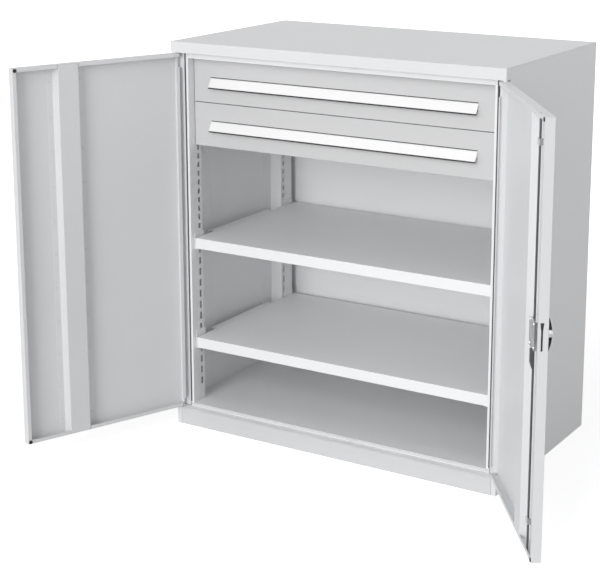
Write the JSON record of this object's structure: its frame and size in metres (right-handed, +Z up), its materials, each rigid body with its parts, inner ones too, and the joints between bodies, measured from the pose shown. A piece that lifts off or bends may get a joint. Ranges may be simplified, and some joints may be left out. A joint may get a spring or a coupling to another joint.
{
  "type": "tool cabinet with doors",
  "caption": "Steel tool cabinet with hinged double doors, a rod lock, drawers under the top and adjustable shelves on slotted posts.",
  "frame": {"origin": "centre of the base at floor level, on the underside of the cross member", "axes": "+X to the cabinet's right as seen from the front, +Y to the back, +Z up"},
  "size_m": [1.4729, 1.0294, 1.1],
  "materials": {
    "body_paint": "satin powder coat",
    "handle_white": "white powder coat",
    "zinc_steel": "zinc plated",
    "dark_steel": "dark oxide",
    "buffer_rubber": "matte",
    "handle_black": "fine matte",
    "cylinder_chrome": "polished"
  },
  "bodies": {
    "carcass": {"top_panel": "body_paint", "back_panel": "body_paint", "floor_panel": "body_paint", "base_front_plate": "body_paint", "base_cross_member": "body_paint", "top_front_rail": "body_paint", "lower_shelf": "body_paint", "upper_shelf": "body_paint", "left_side_panel": "body_paint", "left_front_post": "body_paint", "left_rear_post": "body_paint", "left_lower_shelf_rail": "body_paint", "left_upper_shelf_rail": "body_paint", "right_side_panel": "body_paint", "right_front_post": "body_paint", "right_rear_post": "body_paint", "right_lower_shelf_rail": "body_paint", "right_upper_shelf_rail": "body_paint", "left_upper_hinge_pin": "zinc_steel", "left_lower_hinge_pin": "zinc_steel", "right_upper_hinge_pin": "zinc_steel", "right_lower_hinge_pin": "zinc_steel", "upper_drawer_left_cabinet_member": "zinc_steel", "upper_drawer_right_cabinet_member": "zinc_steel", "lower_drawer_left_cabinet_member": "zinc_steel", "lower_drawer_right_cabinet_member": "zinc_steel"},
    "left_door": {"left_door_pan": "body_paint", "left_door_stiffener": "body_paint", "left_door_upper_buffer": "buffer_rubber", "left_door_lower_buffer": "buffer_rubber"},
    "right_door": {"right_door_pan": "body_paint", "right_door_stiffener": "body_paint", "right_door_upper_buffer": "buffer_rubber", "right_door_lower_buffer": "buffer_rubber", "lock_case": "zinc_steel", "handle_rosette": "handle_black", "upper_rod_guide": "dark_steel", "lower_rod_guide": "dark_steel"},
    "turn_handle": {"turn_handle": "cylinder_chrome", "upper_grip_insert": "handle_black", "lower_grip_insert": "handle_black", "lock_cylinder": "cylinder_chrome", "lock_cam": "zinc_steel"},
    "upper_lock_rod": {"upper_lock_rod": "dark_steel"},
    "lower_lock_rod": {"lower_lock_rod": "dark_steel"},
    "upper_drawer": {"upper_drawer_front": "body_paint", "upper_drawer_tray": "body_paint", "upper_drawer_handle": "handle_white", "upper_drawer_left_drawer_member": "zinc_steel", "upper_drawer_right_drawer_member": "zinc_steel"},
    "upper_drawer_middle_members": {"upper_drawer_left_middle_member": "zinc_steel", "upper_drawer_right_middle_member": "zinc_steel"},
    "lower_drawer": {"lower_drawer_front": "body_paint", "lower_drawer_tray": "body_paint", "lower_drawer_handle": "handle_white", "lower_drawer_left_drawer_member": "zinc_steel", "lower_drawer_right_drawer_member": "zinc_steel"},
    "lower_drawer_middle_members": {"lower_drawer_left_middle_member": "zinc_steel", "lower_drawer_right_middle_member": "zinc_steel"}
  },
  "joints": [
    {"name": "left_door_hinge", "type": "hinge", "parent": "carcass", "child": "left_door", "pos_m": [-0.492, -0.28, 0.56], "axis": [0, 0, -1], "range_deg": [-112, 18]},
    {"name": "right_door_hinge", "type": "hinge", "parent": "carcass", "child": "right_door", "pos_m": [0.492, -0.28, 0.56], "axis": [0, 0, 1], "range_deg": [-126, 4]},
    {"name": "handle_turn", "type": "hinge", "parent": "right_door", "child": "turn_handle", "pos_m": [0.75401, -0.62362, 0.573], "axis": [-0.809, -0.5878, 0], "range_deg": [-90, 0]},
    {"name": "upper_rod_slide", "type": "slide", "parent": "right_door", "child": "upper_lock_rod", "axis": [0, 0, 1], "range_m": [0, 0.0161]},
    {"name": "lower_rod_slide", "type": "slide", "parent": "right_door", "child": "lower_lock_rod", "axis": [0, 0, -1], "range_m": [0, 0.0161]},
    {"name": "upper_drawer_slide", "type": "slide", "parent": "carcass", "child": "upper_drawer", "axis": [0, -1, 0], "range_m": [0, 0.42]},
    {"name": "upper_middle_members_slide", "type": "slide", "parent": "carcass", "child": "upper_drawer_middle_members", "axis": [0, -1, 0], "range_m": [0, 0.21]},
    {"name": "lower_drawer_slide", "type": "slide", "parent": "carcass", "child": "lower_drawer", "axis": [0, -1, 0], "range_m": [0, 0.42]},
    {"name": "lower_middle_members_slide", "type": "slide", "parent": "carcass", "child": "lower_drawer_middle_members", "axis": [0, -1, 0], "range_m": [0, 0.21]}
  ],
  "couplings": [
    {"joint": "upper_rod_slide", "follows": "handle_turn", "m_per_rad": -0.010186},
    {"joint": "lower_rod_slide", "follows": "handle_turn", "m_per_rad": -0.010186},
    {"joint": "upper_middle_members_slide", "follows": "upper_drawer_slide", "ratio": 0.5},
    {"joint": "lower_middle_members_slide", "follows": "lower_drawer_slide", "ratio": 0.5}
  ]
}
